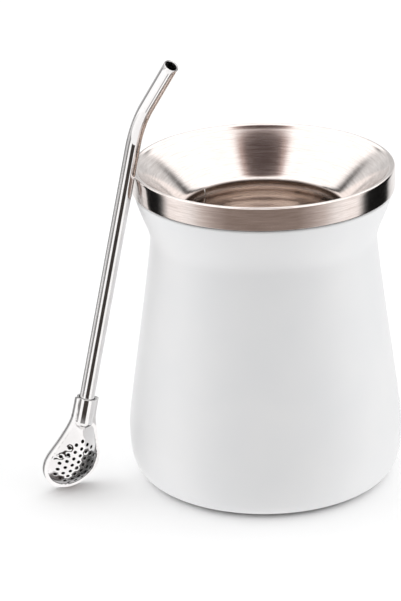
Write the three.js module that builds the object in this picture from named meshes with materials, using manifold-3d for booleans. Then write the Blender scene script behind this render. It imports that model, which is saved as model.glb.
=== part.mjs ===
// A mate cup with its drinking straw, the bombilla, in millimetres, +Z up.
// The cup is a double-walled steel tumbler: a white coated outer wall round a bare steel liner,
// whose funnel mouth rolls over the rim into a brushed band. It is empty.
// The bombilla stands on the floor on its spoon-shaped filter and leans on the rim.
// The origin is the centre of the cup's flat base.
import * as THREE from "three";
import { mergeVertices } from "three/addons/utils/BufferGeometryUtils.js";
import Module from "manifold-3d";

const wasm = await Module();
wasm.setup();

// Cup: driving sizes
const CUP_HEIGHT = 108;
const RIM_RADIUS = 43;
const BELLY_RADIUS = 45.8;
const BELLY_HEIGHT = 17.8;
const BASE_RADIUS = 33;
const NECK_RADIUS = 37.35;
const NECK_HEIGHT = 83.5;
const BAND_HEIGHT = 7.6;
const BAND_THICKNESS = 1.2;
const RIM_RING_WIDTH = 2.2;
const RIM_ROUNDING = 0.8;
const THROAT_RADIUS = 26;
const THROAT_DEPTH = 16.4;
const THROAT_LIP_WIDTH = 2.2;
const THROAT_LIP_HEIGHT = 4;
const SHOULDER_RADIUS = 31.75;
const SHOULDER_HEIGHT = 76.5;
const CAVITY_RADIUS = 39.9;
const CAVITY_BELLY_HEIGHT = 21.8;
const CAVITY_FLOOR_RADIUS = 27.9;
const CAVITY_FLOOR_HEIGHT = 7;
const LINER_WALL = 0.8;
const FIT_GAP = 0.3;
const LATHE_SEGMENTS = 40;

// Bombilla: driving sizes
const TUBE_RADIUS = 2.45;
const TUBE_BORE_RADIUS = 1.95;
const TUBE_STRAIGHT = 95;
const TUBE_BEND_RADIUS = 30;
const TUBE_BEND_DEG = 30;
const MOUTHPIECE_LENGTH = 19;
const TUBE_STEPS = 22;
const TUBE_SIDES = 16;
const BORE_SIDES = 12;

// Filter: a round spoon that tapers to a neck clasping the tube
const SPOON_RADIUS = 10.15;
const SPOON_TAPER_DEG = 22.1;
const SPOON_NECK_HALF_WIDTH = 4.1;
const SPOON_LENGTH = 34.5;
const SPOON_FLANGE = 1.8;
const SHEET_THICKNESS = 0.6;
const FRONT_DOME_HEIGHT = 3.8;
const BACK_DOME_HEIGHT = 2.4;
const DOME_TOP = 24;
const DOME_FULLNESS = 0.8;
const PLATE_COLUMNS = 14;
const PLATE_TIP_ROWS = 8;
const PLATE_BODY_ROWS = 15;
const CHANNEL_START = 22.2;
const CHANNEL_FULL = 26;
const TUBE_END_IN_SPOON = 26.2;
const SPOON_BEND_DEG = 12;
const SPOON_BEND_LENGTH = 9;
const HOLE_DIAMETER = 1.2;
const HOLE_PITCH = 2.4;
const HOLE_MARGIN = 1.35;
const HOLES_FROM = 3.2;
const HOLES_TO = 20.4;
const HOLE_SIDES = 8;
const PUNCH_LENGTH = 8;

// Pose of the bombilla against the rim
const LEAN_DEG = 12;
const LEAN_SIDE_DEG = 197;
const FACING_DEG = 32;

// A polished steel, a brushed steel and the white coating
const polishedSteel = new THREE.MeshStandardMaterial({ color: 0xd9d6d4, metalness: 1, roughness: 0.12 });
const brushedSteel = new THREE.MeshStandardMaterial({ color: 0xcfc5c0, metalness: 1, roughness: 0.32 });
const whiteCoating = new THREE.MeshStandardMaterial({ color: 0xeeeeef, metalness: 0, roughness: 0.5 });

// Profiles of revolution: x is the radius and y the height

const funnelTop = new THREE.Vector2(RIM_RADIUS - RIM_RING_WIDTH, CUP_HEIGHT - RIM_ROUNDING);

// The inside of the liner, from the middle of its floor up to the inner edge of the rim ring.
function cavityPoints() {
  const floor = new THREE.Vector2(CAVITY_FLOOR_RADIUS, CAVITY_FLOOR_HEIGHT);
  const belly = new THREE.Vector2(CAVITY_RADIUS, CAVITY_BELLY_HEIGHT);
  const shoulder = new THREE.Vector2(SHOULDER_RADIUS, SHOULDER_HEIGHT);
  const throat = new THREE.Vector2(THROAT_RADIUS, CUP_HEIGHT - THROAT_DEPTH);
  const lip = new THREE.Vector2(THROAT_RADIUS + THROAT_LIP_WIDTH, throat.y + THROAT_LIP_HEIGHT);
  const path = new THREE.Path();
  path.moveTo(0, floor.y);
  path.lineTo(floor.x, floor.y);
  path.bezierCurveTo(belly.x - 2.5, floor.y, belly.x, floor.y + 3.5, belly.x, belly.y);
  path.bezierCurveTo(belly.x, belly.y + 12, shoulder.x + 3.2, shoulder.y - 16, shoulder.x, shoulder.y);
  path.bezierCurveTo(shoulder.x - 2.4, shoulder.y + 9, throat.x, throat.y - 5.5, throat.x, throat.y);
  path.bezierCurveTo(throat.x, throat.y + 2, lip.x - 1, lip.y - 1.1, lip.x, lip.y);
  path.lineTo(funnelTop.x, funnelTop.y);
  return path.getPoints(4);
}

// The same line moved outwards by a distance, for the back of the liner and for the wall round it.
function outsideOf(points, distance) {
  return points.map((point, i) => {
    const before = points[Math.max(i - 1, 0)];
    const after = points[Math.min(i + 1, points.length - 1)];
    const along = after.clone().sub(before).normalize();
    const outward = new THREE.Vector2(along.y, -along.x);
    return new THREE.Vector2(Math.max(point.x + outward.x * distance, 0), point.y + outward.y * distance);
  });
}

// A profile that starts at the centre of the floor keeps its first point on the axis.
function startOnAxis(points) {
  points[0].x = 0;
  return points;
}

function linerProfile() {
  const inside = cavityPoints();
  const back = startOnAxis(outsideOf(inside, LINER_WALL)).slice(0, -1);
  const ringUnderside = CUP_HEIGHT - LINER_WALL - RIM_ROUNDING;
  const bandInside = RIM_RADIUS - BAND_THICKNESS;
  const bandFoot = CUP_HEIGHT - BAND_HEIGHT;
  const band = new THREE.Path();
  band.moveTo(funnelTop.x + LINER_WALL, ringUnderside);
  band.lineTo(bandInside, ringUnderside);
  band.lineTo(bandInside, bandFoot);
  band.lineTo(RIM_RADIUS - 0.3, bandFoot);
  band.lineTo(RIM_RADIUS, bandFoot + 0.3);
  band.lineTo(RIM_RADIUS, CUP_HEIGHT - RIM_ROUNDING);
  band.quadraticCurveTo(RIM_RADIUS, CUP_HEIGHT, RIM_RADIUS - RIM_ROUNDING, CUP_HEIGHT);
  band.lineTo(funnelTop.x + 1, CUP_HEIGHT);
  return [...back, ...band.getPoints(3), ...inside.reverse()];
}

function shellProfile() {
  const outside = new THREE.Path();
  const flareEnd = CUP_HEIGHT - BAND_HEIGHT - FIT_GAP;
  const neck = new THREE.Vector2(NECK_RADIUS, NECK_HEIGHT);
  outside.moveTo(0, 0);
  outside.lineTo(BASE_RADIUS, 0);
  outside.bezierCurveTo(BELLY_RADIUS - 2.3, 0, BELLY_RADIUS, 3.2, BELLY_RADIUS, BELLY_HEIGHT);
  outside.bezierCurveTo(BELLY_RADIUS, BELLY_HEIGHT + 5, neck.x, neck.y - 7, neck.x, neck.y);
  outside.bezierCurveTo(neck.x, neck.y + 4.5, RIM_RADIUS - 2.7, flareEnd - 8.8, RIM_RADIUS - 0.5, flareEnd);
  const tuck = RIM_RADIUS - BAND_THICKNESS - FIT_GAP;
  const tuckTop = CUP_HEIGHT - LINER_WALL - RIM_ROUNDING - FIT_GAP;
  outside.lineTo(tuck, flareEnd);
  outside.lineTo(tuck, tuckTop);
  const liningBack = startOnAxis(outsideOf(cavityPoints(), LINER_WALL + FIT_GAP)).slice(0, -1);
  const funnelBack = new THREE.Vector2(funnelTop.x + LINER_WALL + 1, tuckTop);
  return [...outside.getPoints(6), funnelBack, ...liningBack.reverse()];
}

function latheAboutZ(profile) {
  return new THREE.LatheGeometry(profile, LATHE_SEGMENTS).rotateX(Math.PI / 2);
}

// The filter's plan, with u up its middle from the tip and v across it

const taper = THREE.MathUtils.degToRad(SPOON_TAPER_DEG);
const taperStart = SPOON_RADIUS * (1 + Math.sin(taper));

// Half the width of the plan, drawn in by an inset, at a height u above the tip.
function halfWidth(u, inset = 0) {
  const radius = SPOON_RADIUS - inset;
  if (u <= taperStart) return Math.sqrt(Math.max(radius ** 2 - (u - SPOON_RADIUS) ** 2, 0));
  const tapered = SPOON_RADIUS * Math.cos(taper) - Math.tan(taper) * (u - taperStart) - inset;
  const neck = SPOON_NECK_HALF_WIDTH - inset;
  const blend = 0.6;
  return (tapered + neck + Math.sqrt((tapered - neck) ** 2 + blend ** 2)) / 2;
}

function smoothStep(from, to, value) {
  return THREE.MathUtils.smoothstep(value, from, to);
}

// Height of a plate's surface above the seam: the dome, and the channel over the tube.
// grow is 0 on the inner face of the sheet and its thickness on the outer face.
function plateHeight(u, v, domeHeight, grow) {
  const domeHalf = halfWidth(u, SPOON_FLANGE - grow);
  const inDome = domeHalf > 0.01 ? Math.max(1 - (v / domeHalf) ** 2, 0) : 0;
  const towardsEnd = u < SPOON_RADIUS
    ? (SPOON_RADIUS - u) / (SPOON_RADIUS - SPOON_FLANGE + grow)
    : (u - SPOON_RADIUS) / (DOME_TOP + grow - SPOON_RADIUS);
  const crest = Math.max(1 - towardsEnd ** 2, 0);
  const dome = domeHeight * (crest * inDome) ** DOME_FULLNESS + (crest * inDome > 0 ? grow : 0);
  const channelRadius = (TUBE_RADIUS + FIT_GAP) * smoothStep(CHANNEL_START, CHANNEL_FULL, u) + grow;
  const channel = Math.sqrt(Math.max(channelRadius ** 2 - v ** 2, 0));
  return Math.max(dome, channel, FIT_GAP / 2 + grow);
}

// Rows of the plate's grid: closer together round the tip than up the body.
function plateRows() {
  const rows = [];
  for (let i = 0; i < PLATE_TIP_ROWS; i++) {
    rows.push(SPOON_RADIUS * (1 - Math.cos((i / PLATE_TIP_ROWS) * (Math.PI / 2))));
  }
  for (let i = 0; i <= PLATE_BODY_ROWS; i++) {
    rows.push(SPOON_RADIUS + (i / PLATE_BODY_ROWS) * (SPOON_LENGTH - SPOON_RADIUS));
  }
  return rows;
}

// Places across a row, from -1 to 1, closer together towards the edges.
function plateAcross(column) {
  const spread = 1.25;
  return Math.sin(((column / PLATE_COLUMNS) * 2 - 1) * spread) / Math.sin(spread);
}

// A closed sheet over the plan, bulging towards +w (front) when side is 1 and -w (back) when side is -1.
function plateGeometry(domeHeight, side) {
  const rows = plateRows();
  const columns = PLATE_COLUMNS;
  const position = [];
  const index = [];
  const faceSize = rows.length * (columns + 1);
  for (const grow of [0, SHEET_THICKNESS]) {
    for (const u of rows) {
      for (let j = 0; j <= columns; j++) {
        const v = plateAcross(j) * halfWidth(u);
        position.push(v, -side * plateHeight(u, v, domeHeight, grow), u);
      }
    }
  }
  const quad = (a, b, c, d) => (side > 0 ? index.push(a, b, c, a, c, d) : index.push(a, c, b, a, d, c));
  for (let i = 0; i + 1 < rows.length; i++) {
    for (let j = 0; j < columns; j++) {
      const inner = i * (columns + 1) + j;
      const outer = inner + faceSize;
      quad(outer, outer + 1, outer + columns + 2, outer + columns + 1);
      quad(inner, inner + columns + 1, inner + columns + 2, inner + 1);
    }
    for (const [j, turned] of [[0, false], [columns, true]]) {
      const low = i * (columns + 1) + j;
      const high = low + columns + 1;
      if (turned) quad(low, high, high + faceSize, low + faceSize);
      else quad(low, low + faceSize, high + faceSize, high);
    }
  }
  for (let j = 0; j < columns; j++) {
    const top = (rows.length - 1) * (columns + 1) + j;
    quad(top, top + faceSize, top + faceSize + 1, top + 1);
    quad(j, j + 1, j + 1 + faceSize, j + faceSize);
  }
  return new THREE.BufferGeometry()
    .setAttribute("position", new THREE.Float32BufferAttribute(position, 3))
    .setIndex(index);
}

function solidFrom(geometry) {
  const bare = new THREE.BufferGeometry().setAttribute("position", geometry.getAttribute("position"));
  if (geometry.index) bare.setIndex(geometry.index);
  const merged = mergeVertices(bare, 1e-4);
  const corners = merged.index.array;
  const triVerts = [];
  for (let i = 0; i < corners.length; i += 3) {
    const [a, b, c] = [corners[i], corners[i + 1], corners[i + 2]];
    if (a !== b && b !== c && c !== a) triVerts.push(a, b, c);
  }
  return new wasm.Manifold(new wasm.Mesh({
    numProp: 3,
    vertProperties: new Float32Array(merged.getAttribute("position").array),
    triVerts: new Uint32Array(triVerts),
  }));
}

function geometryFrom(solid) {
  const mesh = solid.getMesh();
  return new THREE.BufferGeometry()
    .setAttribute("position", new THREE.Float32BufferAttribute(Array.from(mesh.vertProperties), 3))
    .setIndex(Array.from(mesh.triVerts));
}

// Centres of the holes: a honeycomb of columns up the spoon, inside the dome.
function holeCentres() {
  const centres = [];
  const columnGap = (HOLE_PITCH * Math.sqrt(3)) / 2;
  for (let column = -4; column <= 4; column++) {
    const v = column * columnGap;
    const start = HOLES_FROM + (column % 2 === 0 ? 0 : HOLE_PITCH / 2);
    for (let u = start; u <= HOLES_TO; u += HOLE_PITCH) {
      const fits = Math.abs(v) <= halfWidth(u, SPOON_FLANGE) - HOLE_MARGIN;
      if (fits) centres.push([u, v]);
    }
  }
  return centres;
}

function perforate(geometry) {
  let solid = solidFrom(geometry);
  for (const [u, v] of holeCentres()) {
    const punch = new THREE.CylinderGeometry(HOLE_DIAMETER / 2, HOLE_DIAMETER / 2, PUNCH_LENGTH, HOLE_SIDES);
    punch.translate(v, -PUNCH_LENGTH / 2 - FIT_GAP, u);
    solid = solid.subtract(solidFrom(punch));
  }
  return geometryFrom(solid);
}

// The spoon curves backwards from the tube's line below the neck.
// A point of the flat spoon, its height counted from the tip, moves to where the curve carries it.
function bendSpoon(geometry) {
  const bendRadius = SPOON_BEND_LENGTH / THREE.MathUtils.degToRad(SPOON_BEND_DEG);
  const position = geometry.getAttribute("position");
  for (let i = 0; i < position.count; i++) {
    const back = position.getY(i);
    const below = TUBE_END_IN_SPOON - position.getZ(i);
    const curved = THREE.MathUtils.clamp(below, 0, SPOON_BEND_LENGTH);
    const straight = Math.max(below - curved, 0);
    const above = Math.max(-below, 0);
    const angle = curved / bendRadius;
    const y = bendRadius * (1 - Math.cos(angle)) + straight * Math.sin(angle) + back * Math.cos(angle);
    const z = above - bendRadius * Math.sin(angle) - straight * Math.cos(angle) + back * Math.sin(angle);
    position.setXYZ(i, position.getX(i), y, z);
  }
  return geometry;
}

// The tube's middle line: straight up, one gentle bend to the front, and the mouthpiece.
function tubeGeometry() {
  const bend = THREE.MathUtils.degToRad(TUBE_BEND_DEG);
  const bendStart = new THREE.Vector3(0, 0, TUBE_STRAIGHT);
  const corner = new THREE.Vector3(0, 0, TUBE_STRAIGHT + TUBE_BEND_RADIUS * Math.tan(bend / 2));
  const mouthDirection = new THREE.Vector3(0, -Math.sin(bend), Math.cos(bend));
  const bendEnd = corner.clone().addScaledVector(mouthDirection, TUBE_BEND_RADIUS * Math.tan(bend / 2));
  const line = new THREE.CurvePath();
  line.add(new THREE.LineCurve3(new THREE.Vector3(0, 0, 0), bendStart));
  line.add(new THREE.QuadraticBezierCurve3(bendStart, corner, bendEnd));
  line.add(new THREE.LineCurve3(bendEnd, bendEnd.clone().addScaledVector(mouthDirection, MOUTHPIECE_LENGTH)));
  const ring = new THREE.Shape(polygon(TUBE_RADIUS, TUBE_SIDES));
  ring.holes.push(new THREE.Path(polygon(TUBE_BORE_RADIUS, BORE_SIDES)));
  return new THREE.ExtrudeGeometry(ring, { steps: TUBE_STEPS, bevelEnabled: false, extrudePath: line });
}

function polygon(radius, sides) {
  return Array.from({ length: sides }, (_, i) => {
    const turn = (i / sides) * Math.PI * 2;
    return new THREE.Vector2(radius * Math.cos(turn), radius * Math.sin(turn));
  });
}

function named(name, geometry, material) {
  const mesh = new THREE.Mesh(geometry, material);
  mesh.name = name;
  return mesh;
}

// The bombilla in its own frame: the tube up +Z from the origin, the filter's front towards -Y.
function makeBombilla() {
  const bombilla = new THREE.Group();
  const front = perforate(plateGeometry(FRONT_DOME_HEIGHT, 1));
  const back = plateGeometry(BACK_DOME_HEIGHT, -1);
  bombilla.add(named("bombilla_tube", tubeGeometry(), polishedSteel));
  bombilla.add(named("filter_front", bendSpoon(front), polishedSteel));
  bombilla.add(named("filter_back", bendSpoon(back), polishedSteel));
  return bombilla;
}

// Leans the bombilla on the rim: its tube touches the rim's rounded edge, and its filter the floor.
function leanOnRim(bombilla) {
  const lean = THREE.MathUtils.degToRad(LEAN_DEG);
  const side = THREE.MathUtils.degToRad(LEAN_SIDE_DEG);
  const facing = THREE.MathUtils.degToRad(FACING_DEG);
  const outward = new THREE.Vector3(Math.cos(side), Math.sin(side), 0);
  const tubeUp = new THREE.Vector3(0, 0, Math.cos(lean)).addScaledVector(outward, -Math.sin(lean));
  const front = new THREE.Vector3(Math.sin(facing), -Math.cos(facing), 0).projectOnPlane(tubeUp).normalize();
  const across = new THREE.Vector3().crossVectors(tubeUp, front);
  bombilla.setRotationFromMatrix(new THREE.Matrix4().makeBasis(across, front.clone().negate(), tubeUp));
  const lowest = new THREE.Box3().setFromObject(bombilla, true).min.z;
  const touchHeight = CUP_HEIGHT - RIM_ROUNDING;
  const clearance = RIM_ROUNDING + FIT_GAP + TUBE_RADIUS;
  const touch = outward.clone().multiplyScalar(RIM_RADIUS - RIM_ROUNDING + clearance / Math.cos(lean));
  touch.z = touchHeight;
  const downTheTube = (touchHeight + lowest) / Math.cos(lean);
  bombilla.position.copy(touch).addScaledVector(tubeUp, -downTheTube);
  return bombilla;
}

const mateCup = new THREE.Group();
mateCup.add(named("cup_shell", latheAboutZ(shellProfile()), whiteCoating));
mateCup.add(named("steel_liner", latheAboutZ(linerProfile()), brushedSteel));
mateCup.add(leanOnRim(makeBombilla()));

export default mateCup;
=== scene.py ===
from math import cos, pi, radians, sin, sqrt, tan

import bmesh
import bpy
from mathutils import Matrix, Vector


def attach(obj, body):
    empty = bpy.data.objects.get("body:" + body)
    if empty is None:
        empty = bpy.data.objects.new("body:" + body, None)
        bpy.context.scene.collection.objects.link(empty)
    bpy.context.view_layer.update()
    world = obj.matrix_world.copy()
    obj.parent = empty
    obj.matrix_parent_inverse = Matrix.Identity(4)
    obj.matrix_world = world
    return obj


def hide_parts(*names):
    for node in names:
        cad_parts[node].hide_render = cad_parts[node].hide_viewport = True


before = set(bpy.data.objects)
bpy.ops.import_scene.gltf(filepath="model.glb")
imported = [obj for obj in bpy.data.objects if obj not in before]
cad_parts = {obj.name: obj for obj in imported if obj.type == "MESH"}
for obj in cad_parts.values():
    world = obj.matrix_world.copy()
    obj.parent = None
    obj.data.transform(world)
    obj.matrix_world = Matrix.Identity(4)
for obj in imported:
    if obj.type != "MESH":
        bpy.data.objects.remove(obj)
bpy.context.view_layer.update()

MM = 0.001

# Cup
CUP_HEIGHT = 108.0
RIM_RADIUS = 43.0
BELLY_RADIUS = 45.8
BELLY_HEIGHT = 17.8
BASE_RADIUS = 33.0
NECK_RADIUS = 37.35
NECK_HEIGHT = 83.5
WALL_UNDER_BAND = 0.5
BAND_HEIGHT = 7.6
BAND_THICKNESS = 1.2
BAND_EDGE_ROUNDING = 0.3
RIM_RING_WIDTH = 2.2
RIM_ROUNDING = 0.8
RIM_INNER_CORNER = 0.7
THROAT_RADIUS = 26.0
THROAT_DEPTH = 16.4
THROAT_LIP_WIDTH = 2.2
THROAT_LIP_HEIGHT = 4.0
SHOULDER_RADIUS = 31.75
SHOULDER_HEIGHT = 76.5
CAVITY_RADIUS = 39.9
CAVITY_BELLY_HEIGHT = 21.8
CAVITY_FLOOR_RADIUS = 27.9
CAVITY_FLOOR_HEIGHT = 7.0
LINER_WALL = 0.8
FIT_GAP = 0.3
FUNNEL_FLARE = 1.13
FUNNEL_BACK_ROOM = 1.0
FUNNEL_TOP = (RIM_RADIUS - RIM_RING_WIDTH, CUP_HEIGHT - RIM_ROUNDING)

# Handles of the curves in the cup's profiles, from a corner or a point. Pairs go outwards and upwards.
BASE_CORNER_IN = 2.3
BASE_CORNER_UP = 3.2
BELLY_HANDLE_UP = 5.0
NECK_HANDLE_DOWN = 7.0
NECK_HANDLE_UP = 4.5
FLARE_HANDLE = (-2.7, -8.8)
CAVITY_CORNER_IN = 2.5
CAVITY_CORNER_UP = 3.5
CAVITY_HANDLE_UP = 12.0
SHOULDER_HANDLE_BELOW = (3.2, -16.0)
SHOULDER_HANDLE_ABOVE = (-2.4, 9.0)
THROAT_HANDLE_DOWN = 5.5
THROAT_HANDLE_UP = 2.0
LIP_HANDLE = (-1.0, -1.1)

# How finely the cup is divided
CUP_SIDES = 192
CURVE_STEPS = 16
BASE_STEPS = 6
BASE_CURVE_STEPS = 32
WALL_STEPS = 40
FLARE_STEPS = 24
BAND_STEPS = 6
RIM_STEPS = 8
EDGE_STEPS = 5
FUNNEL_STEPS = 16
THROAT_STEPS = 56
CAVITY_FLOOR_STEPS = 8

# Rings that spinning leaves in the throat
SPUN_RING_DEPTH = 0.13
SPUN_RING_PITCH = 3.6
SPUN_RING_HEIGHT = 88.0
SPUN_RINGS_REACH = 6.5
SPUN_RINGS_FULL_WITHIN = 0.5

# Weld down the inside of the liner
WELD_SIDE_DEG = 48.0
WELD_RADIUS = 0.28
WELD_BOTTOM = SHOULDER_HEIGHT - 30.0
WELD_TOP = 93.2
WELD_SUNK = 0.3
WELD_FLATNESS = 0.6
WELD_SIDES = 12

# Bombilla's tube
TUBE_RADIUS = 2.45
TUBE_BORE_RADIUS = 1.95
TUBE_STRAIGHT = 95.0
TUBE_BEND_RADIUS = 30.0
TUBE_BEND_DEG = 30.0
MOUTHPIECE_LENGTH = 19.0
TUBE_SIDES = 48
TUBE_STEPS = 80
LIP_ROUNDING = 0.18
LIP_STEPS = 3

# Bombilla's filter
SPOON_RADIUS = 10.15
SPOON_TAPER_DEG = 22.1
SPOON_NECK_HALF_WIDTH = 4.1
SPOON_NECK_BLEND = 0.6
SPOON_LENGTH = 34.5
SPOON_FLANGE = 1.8
SHEET_THICKNESS = 0.6
FRONT_DOME_HEIGHT = 3.8
BACK_DOME_HEIGHT = 2.4
DOME_TOP = 24.0
DOME_FULLNESS = 0.8
NARROWEST_DOME = 0.01
CHANNEL_START = 22.2
CHANNEL_FULL = 26.0
TUBE_END_IN_SPOON = 26.2
SPOON_BEND_DEG = 12.0
SPOON_BEND_LENGTH = 9.0
SHARP_EDGE_DEG = 40.0

# Punched holes
HOLE_DIAMETER = 1.2
HOLE_PITCH = 2.4
HOLE_MARGIN = 1.35
HOLE_COLUMNS_EACH_SIDE = 4
HOLES_FROM = 3.2
HOLES_TO = 20.4
HOLE_SIDES = 24
PUNCH_LENGTH = 8.0
PUNCH_BEHIND_SEAM = 1.0
DIMPLE_DEPTH = 0.13
DIMPLE_RADIUS = 0.75
DIMPLE_FALL_OFF = 2.718

# How finely the filter's plates are divided, and which part of a plate is closed in and gets painted
# shade
PLATE_COLUMNS = 84
COLUMN_SPREAD = 1.25
PLATE_TIP_ROWS = 40
PLATE_BODY_ROWS = 96
FIRST_ROW = 0.002
INSIDE_WIDTH = 0.97
INSIDE_AFTER_ROW = 2
INSIDE_BELOW_END = 1.0

# Joining of points that lie together, in metres
RING_MERGE = 1e-6
POINT_MERGE = 1e-7
SLIVER = 1e-8

# How the bombilla leans
LEAN_DEG = 12.0
LEAN_SIDE_DEG = 197.0
FACING_DEG = 32.0

# Camera: where the centre of the rim shows in the photograph's 401 x 601 frame
PHOTO_WIDTH = 401
PHOTO_HEIGHT = 601
RIM_PIXEL = (262.8, 163.6)
FOCAL_PIXELS = 2760.7
CAMERA_DISTANCE = 900.0
CAMERA_ELEVATION_DEG = 18.94
CAMERA_ROLL_DEG = 0.61
SENSOR = 36.0
CLIP_METRES = (0.05, 20.0)

# Brushed steel: each set of lines is (turns round the axis, fineness up it)
FINE_LINES = (7.0, 2600.0)
BROAD_LINES = (3.5, 1100.0)
FINE_SHARE = 0.65
BROAD_SHARE = 0.35
LINE_TONES = [(0.34, (0.69, 0.63, 0.60)), (0.66, (0.91, 0.86, 0.835))]
LINE_DEPTH = 0.02
AXIS_CLEARANCE = 0.5
FUNNEL_FINISH_FROM = 93.0
FUNNEL_FINISH_FULL = 93.8
FUNNEL_ROUGHNESS = (0.10, 0.20)
THROAT_ROUGHNESS = 0.24
# Painted reflections and painted shade: bright and dark rings painted into the throat's colour by height,
# darkest just under the funnel's lip
PAINTED_THROAT_RINGS_FROM = 83.0
PAINTED_THROAT_RINGS_TO = 93.5
PAINTED_THROAT_REFLECTIONS_AND_SHADE = [
    (0.0, (0.95, 0.87, 0.82)), (0.28, (0.62, 0.54, 0.49)), (0.48, (0.93, 0.83, 0.76)),
    (0.64, (0.30, 0.225, 0.185)), (0.75, (1.0, 0.89, 0.82)), (0.86, (0.25, 0.18, 0.14)),
    (1.0, (0.06, 0.038, 0.030))]

# Weld
WELD_TONES = [(0.30, (0.86, 0.83, 0.81)), (0.70, (1.0, 0.98, 0.96))]
WELD_ROUGHNESS = (0.30, 0.45)
WELD_RIPPLE_DEPTH = 0.05

# Polished steel
HAIRLINE_STRETCH = (1.0, 1.0, 0.06)
HAIRLINE_DEPTH = 0.02
HAZE_TONES = [(0.30, (0.80, 0.785, 0.78)), (0.70, (0.88, 0.87, 0.87))]
HAZE_SHARE = (0.06, 0.26)
WORN_ROUGHNESS = (0.12, 0.32)
# Painted shade: near black for the filter's inside faces, seen through the holes
PAINTED_SHADE_IN_FILTER = (0.09, 0.08, 0.075, 1)

# White powder coat
COAT_TONES = [(0.30, (0.855, 0.86, 0.87)), (0.70, (0.885, 0.885, 0.89))]
COAT_ROUGHNESS = (0.40, 0.52)
GRAIN_SHARE = 0.35
COAT_GRAIN_DEPTH = 0.05

# Floor, and the part of it that the cup itself keeps in shade
FLOOR_RADIUS = 4000.0
FLOOR_SIDES = 96
FLOOR_WHITE = (0.96, 0.96, 0.96, 1)
SHADE_RADIUS = 42.0
SHADE_DROP = 0.2

# Light that brushed steel mirrors near the horizon, by its turn from the front (0) to the back (1)
LOW_PANELS = [
    (0.00, (0.27, 0.212, 0.186)), (0.17, (0.28, 0.222, 0.195)), (0.235, (0.42, 0.353, 0.325)),
    (0.30, (0.64, 0.563, 0.529)), (0.37, (1.0, 0.96, 0.945)), (0.42, (1.12, 1.07, 1.05)),
    (0.50, (1.12, 1.07, 1.05)), (0.55, 0.08), (0.58, 0.005), (0.76, 0.005), (0.80, 0.75), (0.84, 0.98)]
BACKDROP_TURN = (0.80, 0.90)
BACKDROP_RISE_DEG = (-2.0, 8.0)
BACKDROP_DIMMING = 0.35

# Light that it mirrors from the ceiling, outwards from the middle of a dark gap
CEILING_DEG = (23.0, 29.0)
CEILING_PANELS = [
    (0.0, (0.034, 0.012, 0.009)), (0.38, (0.046, 0.017, 0.012)), (0.52, (0.50, 0.34, 0.30)),
    (0.60, (1.19, 1.13, 1.11)), (0.70, (1.45, 1.43, 1.42))]
GAP_FORWARD = 0.285
GAP_HALF_WIDTH = 0.27
GAP_HALF_LENGTH = 0.25

# Light that matt surfaces get: by its turn from front (0) to back (1), from the ceiling, and low down
SIDE_LIGHT = [(0.0, 0.0), (0.17, 0.06), (0.36, 1.55), (0.62, 1.7), (0.78, 0.7), (1.0, 0.55)]
CEILING_LIGHT = (1.5, 1.5, 1.5, 1)
CEILING_LIGHT_DEG = (30.0, 65.0)
LOW_LIGHT_DEG = 25.0
LOW_LIGHT_SHARE = 0.3

# Glow of the lit floor, from straight below (0) up to the horizon (1), and by its turn
FLOOR_GLOW = [(0.0, 0.3), (0.20, 0.5), (0.42, 1.6), (0.60, 1.75), (1.0, 1.22)]
GLOW_BY_SIDE = [(0.0, 0.80), (0.17, 0.80), (0.36, 1.36), (0.62, 1.45), (0.78, 0.85), (1.0, 0.75)]
HORIZON_DEG = 3.0

# Bars of light that the polished bombilla mirrors, in a whole turn from the back (0 and 1) by the left
# (0.25), the front (0.5) and the right (0.75). A level is how far a direction reaches along the tube or
# the mouthpiece, from -1 to 1.
TUBE_BARS = [
    (0.0, 0.39), (0.165, 0.39), (0.19, 0.69), (0.275, 0.66), (0.29, 0.15), (0.34, 0.15),
    (0.355, 1.3), (0.425, 1.3), (0.435, 0.02), (0.565, 0.02), (0.575, 1.3), (0.74, 1.3),
    (0.76, 0.05), (0.82, 0.12), (0.88, 0.40), (0.96, 0.62)]
TUBE_LEVEL = -0.305
TUBE_LEVEL_REACH = (0.052, 0.062)
SPOON_BARS = [
    (0.0, 0.45), (0.20, 0.70), (0.30, 1.25), (0.683, 1.25), (0.693, 0.05), (0.80, 0.09),
    (0.90, 0.20), (1.0, 0.50)]
MOUTHPIECE_BARS = [
    (0.0, 0.6), (0.17, 0.55), (0.19, 0.22), (0.215, 0.22), (0.235, 1.3), (0.52, 1.3),
    (0.535, 0.40), (0.555, 0.40), (0.57, 1.3), (0.68, 1.3), (0.70, 0.02), (0.88, 0.02),
    (0.90, 0.55), (1.0, 0.6)]
MOUTHPIECE_LEVEL = -0.624
MOUTHPIECE_LEVEL_REACH = (0.035, 0.028)
DARK_BELOW_LEVEL = (-0.93, -0.97)
DARK_BELOW = (0.06, 0.055, 0.055, 1)
BRIGHT_ABOVE_LEVEL = (0.82, 0.92)
BRIGHT_ABOVE = (1.15, 1.15, 1.15, 1)
BACKGROUND_WHITE = (1, 1, 1, 1)


# Node trees

def fill(tree, node, values):
    """Sets each named input to a value, or joins it to a socket."""
    for name, value in values.items():
        if isinstance(value, bpy.types.NodeSocket):
            tree.links.new(value, node.inputs[name])
        else:
            node.inputs[name].default_value = value


def add(tree, kind, values=None, **settings):
    """A node with its settings and its inputs."""
    node = tree.nodes.new(kind)
    for name, setting in settings.items():
        setattr(node, name, setting)
    fill(tree, node, values or {})
    return node


def maths(tree, operation, a, b=None, c=None):
    values = {i: v for i, v in enumerate((a, b, c)) if v is not None}
    return add(tree, "ShaderNodeMath", values, operation=operation).outputs[0]


def vector_maths(tree, operation, a, b):
    return add(tree, "ShaderNodeVectorMath", {0: a, 1: b}, operation=operation).outputs[0]


def scaled(tree, vector, by):
    return add(tree, "ShaderNodeVectorMath", {0: vector, "Scale": by}, operation="SCALE").outputs[0]


def reach_along(tree, vector, axis):
    dot = add(tree, "ShaderNodeVectorMath", {0: vector, 1: axis}, operation="DOT_PRODUCT")
    return dot.outputs["Value"]


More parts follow.
